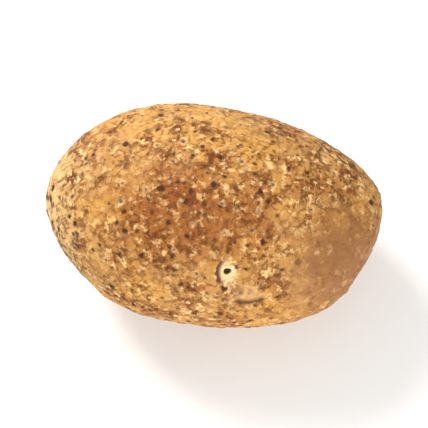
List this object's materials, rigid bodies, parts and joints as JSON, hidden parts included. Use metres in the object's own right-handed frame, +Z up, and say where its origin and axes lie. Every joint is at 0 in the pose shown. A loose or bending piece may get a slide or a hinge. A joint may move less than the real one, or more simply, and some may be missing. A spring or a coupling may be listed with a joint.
{
  "type": "potato",
  "caption": "Whole unpeeled russet potato, a rounded oval tuber with shallow eyes and netted brown skin, lying on its broad side.",
  "frame": {"origin": "on the surface the potato lies on, under the middle of its bounding box", "axes": "+X along the potato from its stem end to its bud end, +Y across its width to its far side, +Z up through its thickness"},
  "size_m": [0.105, 0.07, 0.06],
  "materials": {
    "potato_skin": "matte"
  },
  "bodies": {
    "root": {"potato": "potato_skin"}
  },
  "joints": []
}
